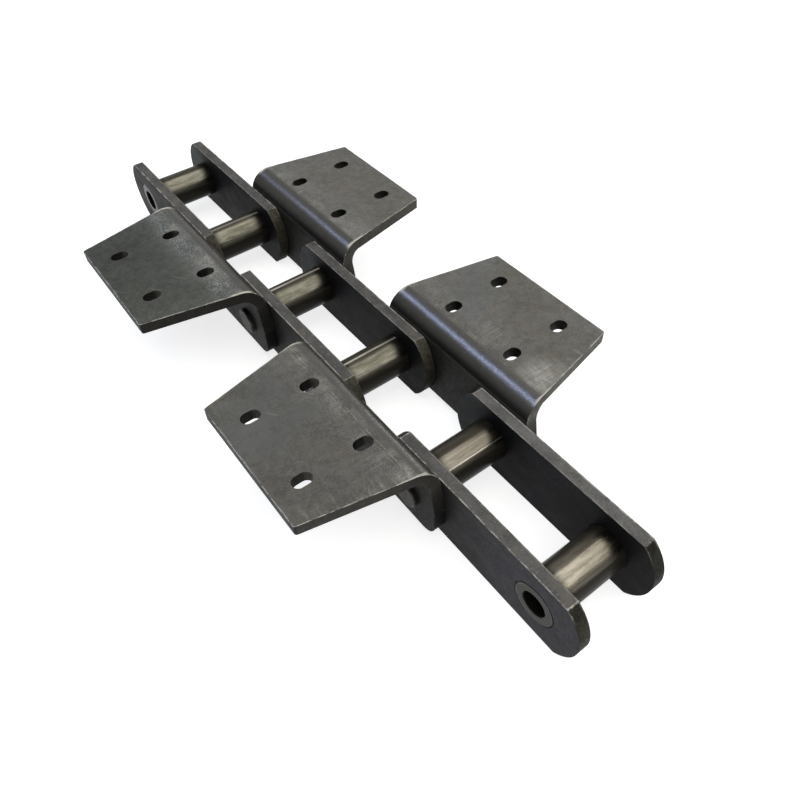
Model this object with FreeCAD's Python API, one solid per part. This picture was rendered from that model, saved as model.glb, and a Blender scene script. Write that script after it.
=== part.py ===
import FreeCAD, Part
import math
import os

# Heavy bushed conveyor chain, five links long: inner, outer, inner, outer, inner.
# Millimetres. X runs across the chain, Y along it, Z up.
# The origin is under the centre of the middle link, where the inner plates rest on the floor.

V = FreeCAD.Vector

# Chain
PITCH = 152.4
INSIDE_WIDTH = 76.2
SIDE_PLAY = 0.8

# Inner plates
INNER_PLATE_T = 12.7
INNER_PLATE_H = 81.0
INNER_END_R = 50.4

# Bushes, pressed into the inner plates
BUSH_D = 44.45
BUSH_EDGE = 1.0
BORE_EDGE = 0.8

# Pins, pressed into the attachment plates and turning in the bushes
PIN_D = 25.4
PIN_CLEARANCE = 0.08
RIVET_D = 29.6
RIVET_H = 5.0
RIVET_EDGE = 1.8

# Attachment plates: an upright leg, a bend and a flat flange
LEG_T = 12.7
LEG_DROP = 31.75
LEG_CORNER_R = 17.0
LEG_HIP_Z = 4.0
BEND_INNER_R = 12.7
FLANGE_TOP = 62.0
FLANGE_REACH = 183.0
FLANGE_EDGE_HALF = 79.7
FLANGE_ROOT_HALF = 101.8
FLANGE_CORNER_R = 3.0

# Slots in the flanges, elongated across the chain
SLOT_W = 13.5
SLOT_L = 20.0
SLOT_INNER_X = 89.2
SLOT_SPACING_X = 63.8
SLOT_SPACING_Y = 88.9

# Places worked out from the sizes above
AXIS_Z = INNER_PLATE_H / 2
BUSH_R = BUSH_D / 2
PIN_R = PIN_D / 2
BORE_R = PIN_R + PIN_CLEARANCE
BUSH_LENGTH = INSIDE_WIDTH + 2 * INNER_PLATE_T
LEG_X = BUSH_LENGTH / 2 + SIDE_PLAY
BEND_OUTER_R = BEND_INNER_R + LEG_T
BEND_X = LEG_X + BEND_OUTER_R
BEND_Z = FLANGE_TOP - BEND_OUTER_R
PIN_BODY = 2 * (LEG_X + LEG_T)

# The sheared sides of the attachment plate are straight lines on the flat blank, so the half length
# grows evenly along the middle of the metal, from the flange's edge round the bend and down the leg.
SIDE_SLOPE = (FLANGE_ROOT_HALF - FLANGE_EDGE_HALF) / (FLANGE_REACH - BEND_X)
BEND_ARC = (BEND_INNER_R + LEG_T / 2) * math.pi / 2
LEG_TOP_HALF = FLANGE_ROOT_HALF + SIDE_SLOPE * BEND_ARC
LEG_HIP_HALF = LEG_TOP_HALF + SIDE_SLOPE * (BEND_Z - LEG_HIP_Z)


def save(name, shape):
    shape.exportStep(os.path.join("parts", name + ".step"))


def across(x, y, z, radius, length):
    # A round bar along X that starts at the given point.
    return Part.makeCylinder(radius, length, V(x, y, z), V(1, 0, 0))


def chamfer_rims(shape, radius, size):
    # Breaks the round edges of the given radius at the two ends of a bar along X.
    rims = [
        e for e in shape.Edges
        if isinstance(e.Curve, Part.Circle) and abs(e.Curve.Radius - radius) < 1e-6
    ]
    return shape.makeChamfer(size, rims)


# Inner link
def inner_plate(link_y, side):
    half = PITCH / 2
    crease = math.sqrt(INNER_END_R ** 2 - (INNER_PLATE_H / 2) ** 2)
    top = AXIS_Z + INNER_PLATE_H / 2
    bottom = AXIS_Z - INNER_PLATE_H / 2
    x = INSIDE_WIDTH / 2 if side > 0 else -INSIDE_WIDTH / 2 - INNER_PLATE_T
    far, near = link_y + half, link_y - half
    a = V(x, near - crease, top)
    b = V(x, far + crease, top)
    c = V(x, far + crease, bottom)
    d = V(x, near - crease, bottom)
    edges = [
        Part.makeLine(a, b),
        Part.Arc(b, V(x, far + INNER_END_R, AXIS_Z), c).toShape(),
        Part.makeLine(c, d),
        Part.Arc(d, V(x, near - INNER_END_R, AXIS_Z), a).toShape(),
    ]
    plate = Part.Face(Part.Wire(edges)).extrude(V(INNER_PLATE_T, 0, 0))
    for y in (near, far):
        plate = plate.cut(across(x - 1, y, AXIS_Z, BUSH_R, INNER_PLATE_T + 2))
        plate = plate.cut(bush_relief(y, side))
    return plate


def bush_relief(y, side):
    # The hole's outer rim is broken, which leaves a fine groove round the flush end of the bush.
    face_x = BUSH_LENGTH / 2
    cone = Part.makeCone(BUSH_R, BUSH_R + BUSH_EDGE, BUSH_EDGE, V(0, 0, 0), V(1, 0, 0))
    cone.translate(V(face_x - BUSH_EDGE, 0, 0))
    if side < 0:
        cone = cone.mirror(V(0, 0, 0), V(1, 0, 0))
    cone.translate(V(0, y, AXIS_Z))
    return cone


def bush(y):
    x = -BUSH_LENGTH / 2
    body = chamfer_rims(across(x, y, AXIS_Z, BUSH_R, BUSH_LENGTH), BUSH_R, BUSH_EDGE / 2)
    body = body.cut(across(x - 1, y, AXIS_Z, BORE_R, BUSH_LENGTH + 2))
    return chamfer_rims(body, BORE_R, BORE_EDGE)


# Outer link
def pin(y):
    body = across(-PIN_BODY / 2, y, AXIS_Z, PIN_R, PIN_BODY)
    for side in (-1, 1):
        x = PIN_BODY / 2 if side > 0 else -PIN_BODY / 2 - RIVET_H
        head = across(x, y, AXIS_Z, RIVET_D / 2, RIVET_H)
        outer = [e for e in head.Edges if abs(e.CenterOfMass.x) > PIN_BODY / 2 + RIVET_H / 2
                 and isinstance(e.Curve, Part.Circle)]
        body = body.fuse(head.makeFillet(RIVET_EDGE, outer))
    return body.removeSplitter()


def leg():
    # The upright part on the +X side, centred on Y = 0, with the pin axis at its own height.
    hip_z = AXIS_Z + LEG_HIP_Z
    top_z = AXIS_Z + BEND_Z
    low = AXIS_Z - LEG_DROP
    points = [
        V(LEG_X, -LEG_TOP_HALF, top_z),
        V(LEG_X, LEG_TOP_HALF, top_z),
        V(LEG_X, LEG_HIP_HALF, hip_z),
        V(LEG_X, LEG_HIP_HALF, low),
        V(LEG_X, -LEG_HIP_HALF, low),
        V(LEG_X, -LEG_HIP_HALF, hip_z),
    ]
    body = Part.Face(Part.makePolygon(points + points[:1])).extrude(V(LEG_T, 0, 0))
    corners = [
        e for e in body.Edges
        if abs(e.CenterOfMass.z - low) < 1e-6 and e.BoundBox.YLength < 1e-6
    ]
    return body.makeFillet(LEG_CORNER_R, corners)


def flange():
    low = AXIS_Z + FLANGE_TOP - LEG_T
    points = [
        V(BEND_X, -FLANGE_ROOT_HALF, low),
        V(FLANGE_REACH, -FLANGE_EDGE_HALF, low),
        V(FLANGE_REACH, FLANGE_EDGE_HALF, low),
        V(BEND_X, FLANGE_ROOT_HALF, low),
    ]
    body = Part.Face(Part.makePolygon(points + points[:1])).extrude(V(0, 0, LEG_T))
    corners = [
        e for e in body.Edges
        if abs(e.CenterOfMass.x - FLANGE_REACH) < 1e-6 and e.BoundBox.YLength < 1e-6
    ]
    return body.makeFillet(FLANGE_CORNER_R, corners)


def side_surface():
    # The sheared side round the bend: each radial line lies at a height along Y set by its angle.
    rows = []
    for i in range(-2, 21):
        angle = i * math.pi / 36
        y = FLANGE_ROOT_HALF + (LEG_TOP_HALF - FLANGE_ROOT_HALF) * i / 18
        row = []
        for k in range(4):
            r = BEND_INNER_R / 2 + k * (BEND_OUTER_R - BEND_INNER_R / 4) / 3
            row.append(V(BEND_X - r * math.sin(angle), y, AXIS_Z + BEND_Z + r * math.cos(angle)))
        rows.append(row)
    surface = Part.BSplineSurface()
    surface.interpolate(rows)
    return surface.toShape()


def bend():
    length = 2 * LEG_TOP_HALF + 20
    outer = Part.makeCylinder(BEND_OUTER_R, length, V(BEND_X, -length / 2, AXIS_Z + BEND_Z), V(0, 1, 0))
    inner = Part.makeCylinder(BEND_INNER_R, length, V(BEND_X, -length / 2, AXIS_Z + BEND_Z), V(0, 1, 0))
    corner = Part.makeBox(
        BEND_OUTER_R, length, BEND_OUTER_R,
        V(BEND_X - BEND_OUTER_R, -length / 2, AXIS_Z + BEND_Z),
    )
    body = outer.cut(inner).common(corner)
    trim = side_surface().extrude(V(0, 40, 0))
    body = body.cut(trim)
    return body.cut(trim.mirror(V(0, 0, 0), V(0, 1, 0)))


def slot(x, y):
    # A slot that runs across the chain, cut through the flange.
    straight = SLOT_L - SLOT_W
    low = AXIS_Z + FLANGE_TOP - LEG_T - 1
    height = LEG_T + 2
    body = Part.makeBox(straight, SLOT_W, height, V(x - straight / 2, y - SLOT_W / 2, low))
    for end in (-1, 1):
        centre = V(x + end * straight / 2, y, low)
        body = body.fuse(Part.makeCylinder(SLOT_W / 2, height, centre, V(0, 0, 1)))
    return body


def attachment_plate(link_y, side):
    body = leg().fuse([bend(), flange()]).removeSplitter()
    for y in (-PITCH / 2, PITCH / 2):
        body = body.cut(across(LEG_X - 1, y, AXIS_Z, PIN_R, LEG_T + 2))
    for i in (0, 1):
        for end in (-1, 1):
            body = body.cut(slot(SLOT_INNER_X + i * SLOT_SPACING_X, end * SLOT_SPACING_Y / 2))
    if side < 0:
        body = body.mirror(V(0, 0, 0), V(1, 0, 0))
    body.translate(V(0, link_y, 0))
    return body


def inner_link(name, link_y, bush_names):
    save(name + "_left_plate", inner_plate(link_y, -1))
    save(name + "_right_plate", inner_plate(link_y, 1))
    for end, bush_name in zip((-1, 1), bush_names):
        save(name + "_" + bush_name, bush(link_y + end * PITCH / 2))


def outer_link(name, link_y, pin_names):
    save(name + "_left_attachment", attachment_plate(link_y, -1))
    save(name + "_right_attachment", attachment_plate(link_y, 1))
    for end, pin_name in zip((-1, 1), pin_names):
        save(name + "_" + pin_name, pin(link_y + end * PITCH / 2))


os.makedirs("parts", exist_ok=True)
inner_link("near_inner", -2 * PITCH, ("end_bush", "joint_bush"))
outer_link("near_outer", -PITCH, ("near_pin", "far_pin"))
inner_link("middle_inner", 0, ("near_bush", "far_bush"))
outer_link("far_outer", PITCH, ("near_pin", "far_pin"))
inner_link("far_inner", 2 * PITCH, ("joint_bush", "end_bush"))
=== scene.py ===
import math

import bpy
from mathutils import Matrix, Vector


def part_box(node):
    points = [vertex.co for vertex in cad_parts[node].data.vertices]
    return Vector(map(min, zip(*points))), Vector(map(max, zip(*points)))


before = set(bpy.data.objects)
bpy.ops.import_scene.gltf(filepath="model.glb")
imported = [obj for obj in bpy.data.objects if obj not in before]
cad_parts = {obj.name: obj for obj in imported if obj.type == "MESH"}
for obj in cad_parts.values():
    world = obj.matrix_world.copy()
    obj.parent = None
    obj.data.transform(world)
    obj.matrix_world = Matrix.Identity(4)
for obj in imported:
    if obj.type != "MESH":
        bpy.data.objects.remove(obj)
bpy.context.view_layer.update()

# Sizes of the chain that the materials follow, in metres
TUBE_LOW, TUBE_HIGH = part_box("middle_inner_near_bush")
PITCH = 0.1524
AXIS_Z = TUBE_LOW[2] / 2 + TUBE_HIGH[2] / 2
FLANGE_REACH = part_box("near_outer_right_attachment")[1][0]
FLANGE_EDGE_HALF = 0.0797
FLANGE_ROOT_HALF = 0.1018
BEND_X = 0.077
INNER_FACE_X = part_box("middle_inner_right_plate")[0][0]
OUTER_FACE_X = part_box("middle_inner_right_plate")[1][0]
BUSH_R = TUBE_HIGH[2] - AXIS_Z
BORE_R = 0.0128
HEAD_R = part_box("near_outer_near_pin")[1][2] - AXIS_Z
PLATE_END_R = 0.0504
CREASE = PITCH / 2 + math.sqrt(PLATE_END_R ** 2 - AXIS_Z ** 2)
RING_INSET = 0.006
CORNER_R = 0.0011
SLOT_X = (0.0892, 0.153)
SLOT_Y = 0.04445
SLOT_HALF = (0.0103, 0.0071)

# Camera of the photograph: place, the three turns and the focal length in pixels of an 800 px frame
CAMERA_AT = Vector((-0.28585, -0.52896, 0.55853 + AXIS_Z))
CAMERA_AZIMUTH = 0.6222
CAMERA_DOWN = 0.8529
CAMERA_ROLL = -0.0349
FOCAL_PX = 710.3
FRAME_PX = 800.0
SENSOR_MM = 36.0

# Studio: how far the floor reaches, its own glow and what the world shows at the horizon and overhead
FLOOR_SIZE = 30.0
FLOOR_GLOW = 0.75
HORIZON, OVERHEAD = 0.42, 0.3

# The Mix node's sockets for two colours and their result
COLOUR_A, COLOUR_B, COLOUR_OUT = 6, 7, 2

# Each flange:
#   light, tint, cut   display lightness of the top, its tint, and the lightness of the near cut edge
#   darker, cool       how much the top darkens outwards, and how strong its wide bluish patches are
#   spot, spot_at      strength of the rubbed spot; how far out from the bend and in from the near edge it
#                      lies, its radius and how even it is
#   dust, comb, lines  dust by the bend, brush lines out from it and lines along it
#   smear, rim         smears by the sloping edges; width and strength of the bright rim at the bend's crest
#   shine              strength of the painted bluish highlight along the right-hand bends
WARM, GREEN = (1.0, 0.98, 0.93), (1.0, 1.025, 0.965)
FLANGES = {
    "near_outer_left_attachment": dict(
        light=104, tint=WARM, cut=62, darker=0.22, cool=0.45, spot=0.85, spot_at=(0.003, 0.009, 0.015, 0.3),
        dust=0.28, comb=0.22, lines=1.1, smear=0.44, rim=(0.0015, 0.6), shine=0.0),
    "near_outer_right_attachment": dict(
        light=112, tint=WARM, cut=106, darker=0.1, cool=0.45, spot=1.0, spot_at=(0.016, 0.018, 0.034, 0.8),
        dust=0.25, comb=0.3, lines=0.4, smear=0.36, rim=(0.0015, 0.6), shine=1.0),
    "far_outer_left_attachment": dict(
        light=97, tint=GREEN, cut=46, darker=0.9, cool=0.1, spot=0.8, spot_at=(0.004, 0.06, 0.019, 0.2),
        dust=0.9, comb=0.06, lines=0.6, smear=0.12, rim=(0.003, 0.9), shine=0.0),
    "far_outer_right_attachment": dict(
        light=112, tint=WARM, cut=84, darker=0.1, cool=0.45, spot=0.3, spot_at=(0.014, 0.014, 0.026, 0.7),
        dust=0.35, comb=0.22, lines=0.6, smear=0.2, rim=(0.003, 0.9), shine=0.4)}

# Darkest and lightest display lightness of the upright faces, painted dark for oil and as painted shade that
# keeps them darker than the tops, deeper on the left-hand side; and the colour of oil and painted shade on
# the plates
UPRIGHT_OIL_AND_SHADE = {"left": (13, 21), "right": (32, 46)}
PLATE_OIL_AND_SHADE = {"left": (27, 27, 24), "right": (33, 34, 37)}

# Each plate: display lightness of the face, of the sheared edge, of the rounded ends (darkest and lightest)
# and of the wiped far end, and the least and most strength of the bright line where edge and end meet
OTHER_PLATE = dict(face=44, edge=92, ends=(50, 80), wiped=92, crease=(0.0, 0.35))
# The near plates' values are partly painted light: the near right plate's sheared edge is painted lighter for
# the light it catches, the near left plate's face lighter for the light on its outer face.
PLATES = {
    "near_inner_left_plate": dict(face=67, edge=96, ends=(36, 60), wiped=68, crease=(0.25, 0.95)),
    "near_inner_right_plate": dict(face=46, edge=108, ends=(28, 48), wiped=68, crease=(0.0, 0.35))}

# Each tube: how light it is painted, standing in for how the light falls on it, its green, how much it browns
# to the right and how strong the painted shade behind it is; the bright line along it, a seam on the joint
# tube and a painted reflection on the tubes beyond, as degrees from the top to the far end, half width and
# strength
TUBES = {
    "near_inner_end_bush": dict(shine=1.1, green=0.955, brown=0.6, behind=0.0, line=None),
    "near_inner_joint_bush": dict(shine=0.88, green=0.955, brown=0.6, behind=0.55, line=(-40.0, 0.0003, 0.5)),
    "middle_inner_near_bush": dict(shine=0.81, green=0.972, brown=0.0, behind=0.55, line=(9.0, 0.0008, 0.75)),
    "middle_inner_far_bush": dict(shine=0.81, green=0.972, brown=0.0, behind=0.55, line=(10.0, 0.0011, 0.95)),
    "far_inner_joint_bush": dict(shine=0.81, green=0.972, brown=0.0, behind=0.55, line=(1.0, 0.0011, 0.7)),
    "far_inner_end_bush": dict(shine=0.81, green=0.972, brown=0.0, behind=0.55, line=None)}


def srgb(r, g, b):
    # A colour given in display values from 0 to 255, as a linear colour.
    out = []
    for c in (r, g, b):
        c = c / 255.0
        out.append(c / 12.92 if c <= 0.04045 else ((c + 0.055) / 1.055) ** 2.4)
    return (out[0], out[1], out[2], 1.0)


def tinted(light, tint):
    return srgb(light * tint[0], light * tint[1], light * tint[2])


# Colours of the wear, and of the painted light and shade
SPECK = srgb(170, 168, 160)
HAIR_LINE = srgb(150, 147, 138)
DUST = srgb(174, 177, 183)
BRUSH_LINE = srgb(146, 143, 134)
BEND_LINE = srgb(168, 163, 150)
BEND_FLECK = srgb(176, 171, 158)
BEND_RUB = srgb(140, 136, 126)
EDGE_SMEAR = srgb(148, 146, 138)
SIDE_RIM = srgb(160, 157, 146)
OUTER_RIM = srgb(158, 158, 156)
RUBBED_SPOT = srgb(164, 162, 154)
BLUE_PAINTED_SHEEN = srgb(118, 122, 136)
BLUE_PAINTED_GLINT = srgb(178, 184, 210)
CREST_RIM = srgb(206, 201, 187)
CUT_SHADE = srgb(34, 33, 30)
FLANGE_END = srgb(31, 33, 37)
BUSH_OIL_AND_SHADE = srgb(16, 16, 17)
EDGE_SPECK = srgb(150, 148, 143)
EDGE_BROWN = srgb(106, 100, 90)
BURR = srgb(202, 199, 190)
UNDERSIDE_SHADE = srgb(40, 38, 34)
CREASE_BURR_AND_HIGHLIGHT = srgb(196, 193, 185)
TUBE_BROWN = srgb(88, 82, 70)
TUBE_PLATE_SHADE = srgb(44, 42, 36)
TUBE_RING = srgb(60, 56, 46)
TUBE_PAINTED_SHADE = srgb(36, 34, 28)
TUBE_SEAM_AND_REFLECTION_LINE = srgb(232, 227, 212)
GROOVE = srgb(18, 18, 17)
BUSH_RIM = srgb(138, 137, 130)
BORE = srgb(20, 20, 18)
HEAD_RIM_WEAR_AND_HIGHLIGHT = srgb(96, 93, 84)


class Nodes:
    # Short calls that build one material's node tree.
    def __init__(self, name):
        self.mat = bpy.data.materials.new(name)
        self.mat.use_nodes = True
        self.tree = self.mat.node_tree
        self.bsdf = self.tree.nodes["Principled BSDF"]
        coord = self.tree.nodes.new("ShaderNodeTexCoord")
        self.place = coord.outputs["Object"]
        self.normal = coord.outputs["Normal"]

    def link(self, source, target):
        if isinstance(source, (int, float, tuple)):
            target.default_value = source
        else:
            self.tree.links.new(source, target)

    def math(self, kind, a, b=0.0):
        node = self.tree.nodes.new("ShaderNodeMath")
        node.operation = kind
        self.link(a, node.inputs[0])
        self.link(b, node.inputs[1])
        return node.outputs[0]

    def times(self, *values):
        out = values[0]
        for value in values[1:]:
            out = self.math("MULTIPLY", out, value)
        return out

    def plus(self, a, b):
        return self.math("ADD", a, b)

    def minus(self, a, b):
        return self.math("SUBTRACT", a, b)

    def most(self, a, b):
        return self.math("MAXIMUM", a, b)

    def size(self, value):
        return self.math("ABSOLUTE", value)

    def radius(self, a, b):
        return self.math("SQRT", self.plus(self.times(a, a), self.times(b, b)))

    def split(self, vector):
        node = self.tree.nodes.new("ShaderNodeSeparateXYZ")
        self.link(vector, node.inputs[0])
        return node.outputs

    def mapped(self, place, setting, value):
        # The place after a Location, Rotation or Scale.
        node = self.tree.nodes.new("ShaderNodeMapping")
        self.link(place, node.inputs["Vector"])
        node.inputs[setting].default_value = value
        return node.outputs[0]

    def moved(self, seed):
        # The place on the piece, shifted so that no two pieces wear the same pattern.
        return self.mapped(self.place, "Location", (seed, 2.3 * seed, 0.7 * seed))

    def stretch(self, place, x, y, z):
        return self.mapped(place, "Scale", (x, y, z))

    def noise(self, place, scale, detail, rough, warp=0.0):
        node = self.tree.nodes.new("ShaderNodeTexNoise")
        self.link(place, node.inputs["Vector"])
        node.inputs["Scale"].default_value = scale
        node.inputs["Detail"].default_value = detail
        node.inputs["Roughness"].default_value = rough
        node.inputs["Distortion"].default_value = warp
        return node.outputs["Fac"]

    def rings(self, radius, scale):
        # A place that only changes with the radius, for turned faces.
        node = self.tree.nodes.new("ShaderNodeCombineXYZ")
        self.link(self.times(radius, scale), node.inputs[0])
        return node.outputs[0]

    def ramp(self, value, low, high, a=0.0, b=1.0):
        # Smoothly maps low..high onto a..b.
        node = self.tree.nodes.new("ShaderNodeMapRange")
        node.interpolation_type = "SMOOTHSTEP"
        self.link(value, node.inputs["Value"])
        node.inputs["From Min"].default_value = low
        node.inputs["From Max"].default_value = high
        node.inputs["To Min"].default_value = a
        node.inputs["To Max"].default_value = b
        return node.outputs[0]

    def band(self, value, centre, half, soft):
        # One near the centre value and zero further away than half + soft.
        return self.ramp(self.size(self.minus(value, centre)), half, half + soft, 1.0, 0.0)

    def mix(self, factor, a, b):
        node = self.tree.nodes.new("ShaderNodeMix")
        node.data_type = "RGBA"
        self.link(factor, node.inputs["Factor"])
        self.link(a, node.inputs[COLOUR_A])
        self.link(b, node.inputs[COLOUR_B])
        return node.outputs[COLOUR_OUT]

    def cover(self, colour, over, *amounts):
        # The colour covered by another as far as all the amounts allow.
        return self.mix(self.times(*amounts), colour, over)

    def mottled(self, tone, dark, light, low=0.4, high=0.6):
        return self.mix(self.ramp(tone, low, high), dark, light)

    def bump(self, height, depth, strength, under=None):
        node = self.tree.nodes.new("ShaderNodeBump")
        node.inputs["Distance"].default_value = depth
        node.inputs["Strength"].default_value = strength
        self.link(height, node.inputs["Height"])
        if under is not None:
            self.link(under, node.inputs["Normal"])
        return node.outputs[0]

    def corner(self, radius):
        # The rounded normal at sharp corners, one where it leaves the face, and how far it points up.
        bevel = self.tree.nodes.new("ShaderNodeBevel")
        bevel.samples = 6
        bevel.inputs["Radius"].default_value = radius
        surface = self.tree.nodes.new("ShaderNodeNewGeometry")
        dot = self.tree.nodes.new("ShaderNodeVectorMath")
        dot.operation = "DOT_PRODUCT"
        self.link(bevel.outputs[0], dot.inputs[0])
        self.link(surface.outputs["Normal"], dot.inputs[1])
        turn = self.tree.nodes.new("ShaderNodeVectorTransform")
        turn.vector_type = "NORMAL"
        turn.convert_from, turn.convert_to = "WORLD", "OBJECT"
        self.link(bevel.outputs[0], turn.inputs[0])
        turned_away = self.ramp(dot.outputs["Value"], 0.9, 0.99, 1.0, 0.0)
        return bevel.outputs[0], turned_away, self.split(turn.outputs[0])[2]

    def finish(self, colour, rough, normal, metal, specular):
        self.link(colour, self.bsdf.inputs["Base Color"])
        self.link(rough, self.bsdf.inputs["Roughness"])
        self.link(metal, self.bsdf.inputs["Metallic"])
        self.bsdf.inputs["Specular IOR Level"].default_value = specular
        if normal is not None:
            self.link(normal, self.bsdf.inputs["Normal"])
        return self.mat


def mill_scale(n, place, light, dark, brown):
    # Hot-rolled, oiled plate: faint clouds, close mottling, a brown bloom and light specks.
    cloud = n.noise(place, 24.0, 3.0, 0.5, 0.3)
    mottle = n.noise(place, 130.0, 5.0, 0.7, 0.4)
    grain = n.noise(place, 700.0, 3.0, 0.65)
    tone = n.plus(n.plus(n.times(cloud, 0.18), n.times(mottle, 0.42)), n.times(grain, 0.4))
    colour = n.mottled(tone, dark, light, 0.38, 0.62)
    bloom = n.noise(place, 30.0, 4.0, 0.6, 0.9)
    colour = n.cover(colour, brown, n.ramp(bloom, 0.46, 0.7, 0.0, 0.35))
    speck = n.ramp(n.noise(place, 420.0, 2.0, 0.5), 0.64, 0.74, 0.0, 0.3)
    return n.cover(colour, n.mix(0.35, light, SPECK), speck), tone


def worn_corners(n, colour, place, where, crest, dull, bright, bare_from, up_from):
    # Rubbed corners: dull steel, with bright metal that comes and goes along the edge.
    rounded, corner, facing_up = n.corner(CORNER_R)
    wear = n.noise(place, 85.0, 5.0, 0.75)
    shown = n.times(corner, where, n.ramp(facing_up, up_from, up_from + 0.35))
    colour = n.cover(colour, srgb(dull, dull, 0.95 * dull), shown, 0.7)
    bare = n.most(n.ramp(wear, bare_from, bare_from + 0.14), crest)
    return n.cover(colour, srgb(bright, bright, 0.95 * bright), shown, bare), rounded


def flange_half(n, x):
    # Half the flange's width, which narrows outwards from the bend.
    slope = (FLANGE_ROOT_HALF - FLANGE_EDGE_HALF) / (FLANGE_REACH - BEND_X)
    out = n.most(n.minus(n.size(x), BEND_X), 0.0)
    return n.minus(FLANGE_ROOT_HALF, n.times(out, slope))


def flange_dust(n, colour, place, top, across, patches, look):
    # Hair lines that cross the flange, and dust and short brush lines outwards from the bend.
    slanted = n.stretch(n.mapped(place, "Rotation", (0.0, 0.0, 0.9)), 1.0, 34.0, 1.0)
    hair = n.ramp(n.noise(slanted, 11.0, 3.0, 0.5), 0.66, 0.7)
    colour = n.cover(colour, HAIR_LINE, hair, n.ramp(patches, 0.5, 0.62), top, 0.3)
    dust = n.ramp(n.noise(place, 700.0, 4.0, 0.75), 0.46, 0.7)
    dust = n.times(dust, n.ramp(patches, 0.36, 0.6, 0.3, 1.0), n.band(across, BEND_X + 0.005, 0.006, 0.02))
    colour = n.cover(colour, DUST, dust, top, look["dust"])
    comb = n.ramp(n.noise(n.stretch(place, 14.0, 430.0, 14.0), 1.0, 2.0, 0.6), 0.5, 0.66)
    comb = n.times(comb, n.band(across, BEND_X + 0.012, 0.008, 0.02), n.ramp(patches, 0.4, 0.6))
    return n.cover(colour, BRUSH_LINE, comb, top, look["comb"])


def bend_lines(n, colour, place, top, across, patches, look):
    # Two broken lines along the start of the bend, with flecks and a rubbed band round them.
    sway = n.times(n.minus(n.noise(place, 22.0, 3.0, 0.6), 0.5), 0.004)
    swayed = n.plus(across, sway)
    fleck = n.noise(place, 330.0, 3.0, 0.7)
    for out, half, amount, scale in ((0.0008, 0.0003, 0.34, 75.0), (0.0042, 0.0003, 0.2, 52.0)):
        broken = n.ramp(n.noise(place, scale, 3.0, 0.7), 0.4, 0.6)
        line = n.times(n.band(swayed, BEND_X + out, half, 0.0009), broken)
        line = n.times(line, n.ramp(fleck, 0.36, 0.6, 0.35, 1.0))
        colour = n.cover(colour, BEND_LINE, line, top, look["lines"] * amount)
    flecks = n.times(n.band(across, BEND_X + 0.002, 0.003, 0.01), n.ramp(fleck, 0.6, 0.7))
    colour = n.cover(colour, BEND_FLECK, flecks, n.ramp(patches, 0.42, 0.6), top, 0.5)
    rubbed = n.times(n.band(across, BEND_X + 0.001, 0.002, 0.012), n.ramp(patches, 0.45, 0.66))
    return n.cover(colour, BEND_RUB, rubbed, top, 0.35)


def margin_wear(n, colour, top, inset, from_link, patches, smear, look):
    # Smears and a rubbed rim by the sloping edges.
    near_edge = n.times(n.ramp(inset, 0.002, 0.024, 1.0, 0.0), n.ramp(smear, 0.48, 0.66))
    near_edge = n.times(near_edge, n.ramp(from_link, -0.03, 0.03, 1.0, 0.4))
    colour = n.cover(colour, EDGE_SMEAR, near_edge, top, look["smear"])
    rim = n.times(n.ramp(inset, 0.0006, 0.0022, 1.0, 0.0), n.ramp(patches, 0.42, 0.62))
    return n.cover(colour, SIDE_RIM, rim, top, 0.6)


def rubbed_spot(n, colour, place, top, across, from_link, smear, look):
    # A spot rubbed bright near one corner or slot, with brush lines in it.
    out, inside, reach, even = look["spot_at"]
    spot_x = n.minus(across, BEND_X + out)
    spot_y = n.minus(from_link, inside - FLANGE_ROOT_HALF)
    spot_y = n.times(spot_y, 0.014 / max(0.014, inside / 2))
    spot = n.ramp(n.radius(spot_x, spot_y), 0.003, reach, 1.0, 0.0)
    spot = n.times(spot, n.ramp(smear, 0.34, 0.6, 0.3, 1.0))
    spot = n.times(spot, n.ramp(n.noise(place, 640.0, 4.0, 0.75), 0.42, 0.62, even, 1.0))
    brushed = n.noise(n.stretch(place, 40.0, 430.0, 40.0), 1.0, 3.0, 0.7)
    return n.cover(colour, RUBBED_SPOT, spot, n.ramp(brushed, 0.4, 0.6, 0.5, 1.0), top, look["spot"])


def flange_wear(n, colour, place, top, link_y, look):
    x, y, _ = n.split(n.place)
    across, from_link = n.size(x), n.minus(y, link_y)
    patches = n.noise(place, 46.0, 4.0, 0.6)
    colour = flange_dust(n, colour, place, top, across, patches, look)
    colour = bend_lines(n, colour, place, top, across, patches, look)
    inset = n.minus(flange_half(n, x), n.size(from_link))
    smear = n.noise(n.stretch(place, 1.0, 0.3, 1.0), 150.0, 5.0, 0.7, 0.3)
    colour = margin_wear(n, colour, top, inset, from_link, patches, smear, look)
    colour = rubbed_spot(n, colour, place, top, across, from_link, smear, look)
    rim = n.times(n.ramp(n.minus(FLANGE_REACH, across), 0.0006, 0.002, 1.0, 0.0), n.ramp(patches, 0.42, 0.62))
    return n.cover(colour, OUTER_RIM, rim, top, 0.5)


def painted_blue_highlight(n, satin, nz, place, from_link, shine):
    # A painted bluish highlight with painted glints along the crown of a right-hand bend, fading towards the
    # far end.
    crown = 0.868
    grit = n.ramp(n.noise(place, 760.0, 4.0, 0.8), 0.46, 0.62, 0.25, 1.0)
    drift = n.plus(nz, n.times(n.minus(n.noise(place, 90.0, 4.0, 0.7), 0.5), 0.06))
    satin = n.cover(satin, BLUE_PAINTED_SHEEN, n.band(drift, crown, 0.0, 0.12), 0.25 + 0.45 * shine)
    painted_glints = n.times(n.band(drift, crown, 0.002, 0.06), grit)
    return n.cover(satin, BLUE_PAINTED_GLINT, painted_glints, n.ramp(from_link, -0.07, 0.07, 0.9 * shine, 0.45 * shine))


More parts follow.
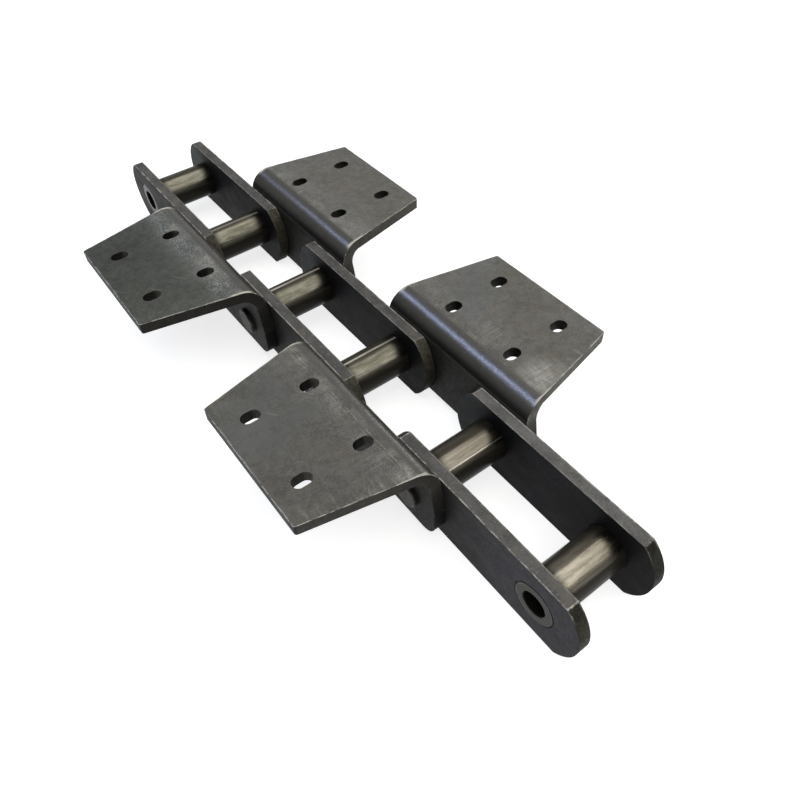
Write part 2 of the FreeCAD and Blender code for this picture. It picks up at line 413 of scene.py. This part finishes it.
def bent_steel(n, colour, tone, look, side, nx, nz, place, from_link):
    # The pressed bend: satin, with painted shade that darkens it towards the leg; the right-hand bends are
    # painted darker all over as painted shade.
    light = look["light"]
    # Painted shade: the right-hand bends are painted darker all over.
    level = light if side == "left" else 0.74 * light
    satin = n.mottled(tone, tinted(level, (0.86, 0.85, 0.82)), tinted(level, (1.0, 0.98, 0.95)))
    if side == "left":
        # Painted shade darkening the bend towards the leg
        satin = n.cover(satin, tinted(level, (0.42, 0.42, 0.38)), n.ramp(nz, 0.64, 0.93, 0.8, 0.0))
        start, end = 0.955, 0.995
    else:
        # Painted shade darkening the bend towards the leg
        satin = n.cover(satin, tinted(level, (0.3, 0.3, 0.3)), n.ramp(nz, 0.3, 0.75, 0.85, 0.0))
        satin = painted_blue_highlight(n, satin, nz, place, from_link, look["shine"])
        # Painted light: the bend grows lighter where it turns up to meet the top
        satin = n.cover(satin, tinted(light, (0.86, 0.84, 0.79)), n.ramp(nz, 0.92, 0.985, 0.0, 0.75))
        start, end = 0.982, 0.9985
    bend = n.times(n.ramp(nz, 0.05, 0.3), n.ramp(nz, start, end, 1.0, 0.0), n.ramp(n.size(nx), 0.03, 0.12))
    return n.mix(bend, colour, satin), bend


def slot_place(n, link_y):
    # One in and close round the four slots.
    x, y, _ = n.split(n.place)
    across, along = n.size(x), n.size(n.minus(y, link_y))
    half_length, half_width = SLOT_HALF
    inner, outer = (n.band(across, at, half_length, 0.0005) for at in SLOT_X)
    return n.times(n.plus(inner, outer), n.band(along, SLOT_Y, half_width, 0.0005))


def flange_cuts(n, colour, tone, cut, slot, side_on, nx, ny):
    # Sheared edges of the flange and the walls of its slots, the walls with painted light and shade.
    x, _, z = n.split(n.place)
    across = n.size(x)
    over = n.ramp(across, BEND_X - 0.006, BEND_X + 0.002)
    colour = n.cover(colour, n.mottled(tone, srgb(54, 52, 46), srgb(66, 64, 57)), over, side_on)
    near = n.times(n.ramp(ny, -0.8, -0.5, 1.0, 0.0), n.ramp(z, AXIS_Z + 0.01, AXIS_Z + 0.04))
    sheared = n.mottled(tone, tinted(0.86 * cut, (1.0, 0.97, 0.9)), tinted(1.08 * cut, (1.0, 0.97, 0.9)))
    sheared = n.cover(sheared, CUT_SHADE, n.ramp(across, BEND_X, BEND_X + 0.035, 0.35, 0.0))
    colour = n.cover(colour, sheared, near, side_on)
    rim = n.ramp(across, FLANGE_REACH - 0.003, FLANGE_REACH - 0.001)
    colour = n.cover(colour, FLANGE_END, rim, side_on)
    # Painted light and shade on the slot walls: lit where they face outwards, in shade where they face the
    # chain.
    outward = n.times(nx, n.math("SIGN", x))
    painted_lit_wall = n.mottled(tone, srgb(58, 57, 52), srgb(98, 96, 90))
    painted_light_and_shade_wall = n.mix(n.ramp(outward, -0.1, 0.8), srgb(24, 24, 21), painted_lit_wall)
    return n.cover(colour, painted_light_and_shade_wall, slot, side_on)


def attachment_steel(name, side, link_y, look, seed):
    n = Nodes(name)
    place = n.moved(seed)
    light, tint = look["light"], look["tint"]
    colour, tone = mill_scale(
        n, place, tinted(light, tint), tinted(0.8 * light, tint), tinted(light, (0.93, 0.87, 0.77)))
    x, y, _ = n.split(n.place)
    nx, ny, nz = n.split(n.normal)
    across, from_link = n.size(x), n.minus(y, link_y)
    outer = n.ramp(across, BEND_X - 0.004, BEND_X + 0.055, 0.0, look["darker"])
    dim = n.mottled(tone, tinted(0.55 * light, tint), tinted(0.72 * light, tint))
    colour = n.cover(colour, dim, outer, n.ramp(from_link, -0.09, 0.07, 0.6, 1.0))
    cool = n.ramp(n.noise(place, 13.0, 3.0, 0.55, 0.5), 0.48, 0.66, 0.0, look["cool"])
    colour = n.cover(colour, tinted(light, (0.88, 0.92, 0.93)), cool)
    # A darker strip beside the bend
    strip = n.ramp(across, BEND_X - 0.002, BEND_X + 0.014, 0.5, 0.0)
    strip = n.times(strip, n.ramp(n.noise(place, 60.0, 4.0, 0.7), 0.35, 0.6, 0.5, 1.0))
    colour = n.cover(colour, tinted(0.72 * light, tint), strip)
    colour = flange_wear(n, colour, place, n.ramp(nz, 0.93, 0.995), link_y, look)
    colour, bend = bent_steel(n, colour, tone, look, side, nx, nz, place, from_link)
    # Upright faces are painted nearly black: oil, and painted shade that keeps them darker than the tops.
    side_on = n.ramp(nz, 0.15, 0.4, 1.0, 0.0)
    low, high = UPRIGHT_OIL_AND_SHADE[side]
    oil_and_shade = n.mottled(tone, srgb(low, low, 0.93 * low), srgb(high, high, 0.93 * high))
    colour = n.cover(colour, oil_and_shade, side_on, n.minus(1.0, bend))
    slot = slot_place(n, link_y)
    crest = n.band(across, BEND_X - 0.002, 0.007, 0.008)
    colour = flange_cuts(n, colour, tone, look["cut"], slot, side_on, nx, ny)
    colour, rounded = worn_corners(n, colour, place, n.minus(1.0, slot), crest, 120, 230, 0.42, 0.1)
    # The bright rim at the crest of the bend
    inset = n.minus(flange_half(n, x), n.size(from_link))
    rim_width, rim_shown = look["rim"]
    rim = n.times(n.ramp(inset, 0.0004, rim_width, 1.0, 0.0), n.ramp(nz, 0.4, 0.7))
    colour = n.cover(colour, CREST_RIM, rim, crest, rim_shown)
    rough = n.mix(bend, n.ramp(tone, 0.38, 0.62, 0.6, 0.46), n.ramp(tone, 0.4, 0.6, 0.3, 0.22))
    height = n.plus(tone, n.times(n.noise(place, 1500.0, 2.0, 0.6), 0.15))
    normal = n.bump(height, 0.0006, 0.5, rounded)
    normal = n.bump(n.noise(place, 16.0, 2.0, 0.5), 0.0012, 0.3, normal)
    return n.finish(colour, rough, normal, n.times(bend, 0.3), 0.08)


def plate_face(n, colour, middle, side, look, nx):
    # Oil and painted shade on a plate's faces.
    x, y, z = n.split(n.place)
    # Oil and painted shade darken a face towards the link's joint, away from the chain's open ends.
    inward = n.ramp(n.size(y), 2 * PITCH - 0.05, 2 * PITCH + 0.05, 1.0, 0.0)
    colour = n.cover(colour, srgb(*PLATE_OIL_AND_SHADE[side]), inward, 0.8)
    # Old oil and painted shade darken the inner faces round the bushes.
    from_middle = n.minus(y, middle)
    from_bush = n.radius(n.minus(n.size(from_middle), PITCH / 2), n.minus(z, AXIS_Z))
    inner = n.ramp(n.times(nx, n.math("SIGN", x)), -0.9, -0.5, 1.0, 0.0)
    colour = n.cover(colour, BUSH_OIL_AND_SHADE, n.ramp(from_bush, 0.03, 0.07, 1.0, 0.0), inner, 0.85)
    # The far end of an inner face, beyond the bush, is wiped cleaner.
    wiped = n.ramp(from_middle, PITCH / 2 - 0.002, PITCH / 2 + 0.034, 0.0, 0.85)
    return n.cover(colour, tinted(look["wiped"], (0.95, 1.0, 1.0)), wiped, inner)


def plate_edge(n, place, mixed, look, ny, nz):
    # Sheared edge of bare metal, with rounded, browner ends that carry more scale.
    x = n.split(n.place)[0]
    light = look["edge"]
    dark = 0.78 * light
    edge = n.mottled(mixed, tinted(dark, (1.0, 0.985, 0.96)), tinted(light, (1.0, 0.985, 0.96)), 0.38, 0.62)
    edge = n.cover(edge, EDGE_SPECK, n.ramp(n.noise(place, 300.0, 2.0, 0.5), 0.6, 0.74, 0.0, 0.25))
    edge = n.cover(edge, EDGE_BROWN, n.ramp(n.noise(place, 32.0, 4.0, 0.65, 0.5), 0.52, 0.68, 0.0, 0.5))
    low, high = look["ends"]
    end_steel = n.mottled(mixed, tinted(low, (1.0, 0.97, 0.84)), tinted(high, (1.0, 0.96, 0.82)))
    edge = n.cover(edge, end_steel, n.ramp(n.size(ny), 0.25, 0.5))
    # A burr comes and goes along the top edge's margins, stronger on the outer side.
    up = n.ramp(nz, 0.55, 0.85)
    broken = n.ramp(n.noise(place, 95.0, 5.0, 0.75), 0.42, 0.58)
    for margin, toward, amount in ((OUTER_FACE_X, -1, 0.55), (INNER_FACE_X, 1, 0.2)):
        inset = n.times(n.minus(n.size(x), margin), toward)
        edge = n.cover(edge, BURR, n.ramp(inset, 0.0008, 0.0018, 1.0, 0.0), broken, up, amount)
    # Edges that face down are painted dark as painted shade.
    return n.cover(edge, UNDERSIDE_SHADE, n.ramp(nz, -0.6, 0.1, 1.0, 0.0))


def plate_steel(name, side, middle, look, seed):
    n = Nodes(name)
    place = n.moved(seed)
    grey = look["face"]
    pale, dark, brown = (1.0, 1.0, 1.08), (0.72, 0.72, 0.78), (0.88, 0.84, 0.8)
    colour, tone = mill_scale(n, place, tinted(grey, pale), tinted(grey, dark), tinted(grey, brown))
    y = n.split(n.place)[1]
    nx, ny, nz = n.split(n.normal)
    colour = plate_face(n, colour, middle, side, look, nx)
    grain = n.noise(place, 520.0, 4.0, 0.7)
    smear = n.noise(n.stretch(place, 1.0, 0.5, 1.0), 70.0, 4.0, 0.65, 0.3)
    mixed = n.plus(n.times(grain, 0.5), n.times(smear, 0.5))
    flat = n.ramp(n.size(nx), 0.5, 0.9)
    colour = n.mix(flat, plate_edge(n, place, mixed, look, ny, nz), colour)
    colour, rounded = worn_corners(n, colour, place, 1.0, 0.0, 108, 182, 0.5, 0.35)
    # A bright line where the straight edge meets the rounded end: partly a burr, partly a painted highlight,
    # strongest on the near left plate.
    least, most = look["crease"]
    crease = n.times(n.band(n.size(n.minus(y, middle)), CREASE, 0.0003, 0.0009), n.ramp(nz, 0.5, 0.8))
    colour = n.cover(colour, CREASE_BURR_AND_HIGHLIGHT, crease, n.ramp(mixed, 0.42, 0.56, least, most), n.minus(1.0, flat))
    height = n.plus(tone, n.times(grain, 0.4))
    normal = n.bump(height, 0.0004, 0.5, rounded)
    return n.finish(colour, n.ramp(mixed, 0.35, 0.65, 0.6, 0.45), normal, 0.0, 0.05)


def from_axis(n, centre):
    # Distances from a pin's or bush's axis: along the chain, upwards, and as a radius.
    _, y, z = n.split(n.place)
    dy, dz = n.minus(y, centre), n.minus(z, AXIS_Z)
    return dy, dz, n.radius(dy, dz)


def tube_painted_shade(n, smear, ny, nz, centre, shade_behind_amount):
    # Painted shade and painted dark reflection under the tube, higher up towards the near end, and behind it.
    links = (centre + 2.5 * PITCH) / PITCH
    shade_line = max(0.34, 0.75 - 0.09 * links)
    low = n.ramp(n.plus(nz, n.times(smear, 0.3)), shade_line, shade_line + 0.22, 1.0, 0.0)
    behind = n.plus(ny, n.times(smear, 0.2))
    back = n.times(n.ramp(behind, 0.3, 0.75, 0.0, 0.95), n.ramp(ny, 0.76, 0.94, 1.0, 0.3))
    if shade_behind_amount:
        back = n.most(back, n.ramp(behind, -0.1, 0.25, 0.0, shade_behind_amount))
    return n.most(low, back)


def tube_seam_and_reflection_line(n, colour, smear, dy, dz, nz, line):
    # The bright line along a tube, on the tubes that have one: a lighter seam on the joint tube, and a
    # painted reflection of a strip light on the tubes beyond it.
    degrees, half, amount = line
    turn = math.radians(degrees)
    off = n.minus(n.times(dy, math.cos(turn)), n.times(dz, math.sin(turn)))
    shown = n.times(n.band(off, 0.0, half, half + 0.0003), n.ramp(nz, 0.1, 0.3))
    return n.cover(colour, TUBE_SEAM_AND_REFLECTION_LINE, shown, n.ramp(smear, 0.4, 0.55, 0.5, 1.0), amount)


def bush_steel(name, centre, look, seed):
    # Ground tube: lengthwise shine and smears, painted dark shade underneath, dull turned end faces, black
    # bore.
    n = Nodes(name)
    x = n.split(n.place)[0]
    nx, ny, nz = n.split(n.normal)
    dy, dz, radius = from_axis(n, centre)
    place = n.moved(seed)
    smear = n.noise(n.stretch(place, 0.14, 2.4, 2.4), 60.0, 5.0, 0.7, 0.15)
    fleck = n.noise(n.stretch(place, 0.3, 1.0, 1.0), 240.0, 4.0, 0.7)
    mixed = n.plus(n.times(smear, 0.65), n.times(fleck, 0.35))
    # Painted light: each tube's lightness follows its shine, standing in for how the light falls on it.
    dark, light, green = 104 * look["shine"], 150 * look["shine"], look["green"]
    colour = n.mottled(mixed, tinted(dark, (1.0, green, 0.84)), tinted(light, (1.0, green, 0.87)), 0.37, 0.63)
    if look["brown"]:
        colour = n.cover(colour, TUBE_BROWN, n.ramp(x, -0.03, 0.034, 0.0, look["brown"]))
    # Painted shade and dark reflection fading in where the tube meets the plates, and a faint ring
    reach = n.size(x)
    fade = n.ramp(n.plus(reach, n.times(smear, 0.008)), INNER_FACE_X - 0.012, INNER_FACE_X - 0.001)
    colour = n.cover(colour, TUBE_PLATE_SHADE, fade, 0.9)
    colour = n.cover(colour, TUBE_RING, n.band(reach, INNER_FACE_X - RING_INSET, 0.0003, 0.0007), 0.5)
    # Painted shade and painted dark reflection under and behind the tube; it also takes away the metal there.
    painted_dark = tube_painted_shade(n, smear, ny, nz, centre, look["behind"])
    colour = n.cover(colour, TUBE_PAINTED_SHADE, painted_dark, 0.95)
    if look["line"] is not None:
        colour = tube_seam_and_reflection_line(n, colour, smear, dy, dz, nz, look["line"])
    # The end faces: fine turned lines, a dark groove round them and rims rubbed bright here and there
    end_face = n.ramp(n.size(nx), 0.7, 0.95)
    lines = n.noise(n.rings(radius, 2600.0), 1.0, 3.0, 0.6)
    colour = n.cover(colour, n.mottled(lines, srgb(51, 51, 47), srgb(64, 63, 58), 0.3, 0.7), end_face)
    groove = n.ramp(radius, BUSH_R - 0.0011, BUSH_R - 0.0007)
    colour = n.cover(colour, GROOVE, groove, n.ramp(reach, OUTER_FACE_X - 0.003, OUTER_FACE_X - 0.002))
    outer_rim = n.band(radius, BUSH_R - 0.0015, 0.0001, 0.0004)
    bore_rim = n.band(radius, BORE_R + 0.001, 0.0001, 0.0004)
    broken = n.ramp(n.noise(place, 75.0, 4.0, 0.7), 0.46, 0.62)
    rims = n.times(n.plus(outer_rim, bore_rim), end_face, broken)
    colour = n.cover(colour, BUSH_RIM, rims, 0.6)
    bore = n.ramp(radius, BORE_R + 0.0001, BORE_R + 0.0004, 1.0, 0.0)
    colour = n.cover(colour, BORE, bore)
    bare = n.times(n.minus(1.0, end_face), n.minus(1.0, bore))
    normal = n.bump(smear, 0.0002, 0.4, n.bump(fleck, 0.00005, 0.4))
    metal = n.times(bare, n.minus(0.92, n.times(painted_dark, 0.9)))
    return n.finish(colour, n.ramp(mixed, 0.37, 0.63, 0.32, 0.19), normal, metal, 0.06)


def pin_steel(name, centre, seed):
    # Oiled dark steel, painted darker still as the shade under the flanges, rubbed brighter here and there
    # round the rim of each upset head, partly a painted highlight.
    n = Nodes(name)
    place = n.moved(seed)
    radius = from_axis(n, centre)[2]
    colour, tone = mill_scale(n, place, srgb(30, 29, 26), srgb(18, 18, 17), srgb(27, 25, 20))
    broken = n.ramp(n.noise(place, 90.0, 4.0, 0.7), 0.42, 0.6)
    rim = n.times(n.band(radius, HEAD_R - 0.0009, 0.0005, 0.0006), broken)
    colour = n.cover(colour, HEAD_RIM_WEAR_AND_HIGHLIGHT, rim, 0.55)
    return n.finish(colour, n.ramp(tone, 0.38, 0.62, 0.5, 0.36), n.bump(tone, 0.0006, 0.6), 0.2, 0.15)


def dress():
    for i, (name, obj) in enumerate(sorted(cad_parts.items())):
        low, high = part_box(name)
        y = (low[1] + high[1]) / 2
        side = name.split("_")[2]
        steel = name + "_steel"
        if name.endswith("attachment"):
            mat = attachment_steel(steel, side, y, FLANGES[name], 1.7 * i)
        elif name.endswith("plate"):
            mat = plate_steel(steel, side, y, PLATES.get(name, OTHER_PLATE), 1.3 * i)
        elif name.endswith("bush"):
            mat = bush_steel(steel, y, TUBES[name], 0.9 * i)
        else:
            mat = pin_steel(steel, y, 1.1 * i)
        obj.data.materials.clear()
        obj.data.materials.append(mat)


def add_camera():
    a, e, roll = CAMERA_AZIMUTH, CAMERA_DOWN, CAMERA_ROLL
    forward = Vector((math.sin(a) * math.cos(e), math.cos(a) * math.cos(e), -math.sin(e)))
    right = Vector((math.cos(a), -math.sin(a), 0.0))
    up = right.cross(forward)
    turned_right = math.cos(roll) * right + math.sin(roll) * up
    turned_up = -math.sin(roll) * right + math.cos(roll) * up
    turn = Matrix((turned_right, turned_up, -forward)).transposed()
    data = bpy.data.cameras.new("camera")
    data.sensor_width = SENSOR_MM
    data.lens = SENSOR_MM * FOCAL_PX / FRAME_PX
    cam = bpy.data.objects.new("camera", data)
    cam.matrix_world = Matrix.Translation(CAMERA_AT) @ turn.to_4x4()
    bpy.context.scene.collection.objects.link(cam)
    bpy.context.scene.camera = cam


def add_floor():
    bpy.ops.mesh.primitive_plane_add(size=FLOOR_SIZE, location=(0, 0, 0))
    floor = bpy.context.object
    floor.name = "floor"
    n = Nodes("floor_white")
    # The floor shows white to the eye and in reflections, but throws little light back up.
    ray = n.tree.nodes.new("ShaderNodeLightPath")
    seen = n.minus(1.0, ray.outputs["Is Diffuse Ray"])
    n.link(n.times(seen, FLOOR_GLOW), n.bsdf.inputs["Emission Strength"])
    n.bsdf.inputs["Emission Color"].default_value = (1.0, 1.0, 1.0, 1.0)
    n.finish(n.mix(seen, srgb(88, 88, 88), srgb(196, 196, 196)), 0.9, None, 0.0, 0.0)
    floor.data.materials.append(n.mat)


def area_light(name, at, aim, size, power, colour=(1, 1, 1)):
    data = bpy.data.lights.new(name, "AREA")
    data.shape = "RECTANGLE"
    data.size, data.size_y = size
    data.energy = power
    data.color = colour
    obj = bpy.data.objects.new(name, data)
    obj.location = at
    obj.rotation_euler = (Vector(aim) - Vector(at)).to_track_quat("-Z", "Y").to_euler()
    bpy.context.scene.collection.objects.link(obj)


def add_world():
    # Pale at the horizon and grey overhead, so that metal has something to reflect.
    world = bpy.data.worlds.new("studio")
    world.use_nodes = True
    tree = world.node_tree
    coord = tree.nodes.new("ShaderNodeTexCoord")
    parts = tree.nodes.new("ShaderNodeSeparateXYZ")
    tree.links.new(coord.outputs["Generated"], parts.inputs[0])
    fade = tree.nodes.new("ShaderNodeMapRange")
    fade.interpolation_type = "SMOOTHSTEP"
    tree.links.new(parts.outputs[2], fade.inputs["Value"])
    fade.inputs["From Min"].default_value = 0.05
    fade.inputs["From Max"].default_value = 0.5
    fade.inputs["To Min"].default_value = HORIZON
    fade.inputs["To Max"].default_value = OVERHEAD
    tree.links.new(fade.outputs[0], tree.nodes["Background"].inputs["Color"])
    bpy.context.scene.world = world


def add_light():
    sun = bpy.data.lights.new("overhead", "SUN")
    sun.energy = 2.1
    sun.angle = math.radians(78)
    sun.color = (1.0, 0.99, 0.965)
    obj = bpy.data.objects.new("overhead", sun)
    obj.rotation_euler = Vector((-0.28, 0.22, -0.93)).to_track_quat("-Z", "Y").to_euler()
    bpy.context.scene.collection.objects.link(obj)
    # A narrow bluish strip that the right-hand bends reflect, and low fills right and near left
    area_light("far_left", (-1.05, 1.05, 1.75), (0.08, -0.05, 0.06), (1.9, 0.05), 9.0, (0.7, 0.8, 1.0))
    area_light("right", (1.3, 0.15, 0.16), (0.06, 0.0, 0.045), (1.2, 0.25), 6.0)
    area_light("near_left", (-0.75, -0.95, 0.2), (-0.05, -0.4, 0.04), (0.3, 0.3), 1.9)


dress()
add_camera()
add_floor()
add_world()
add_light()
bpy.context.scene.view_settings.view_transform = "Standard"
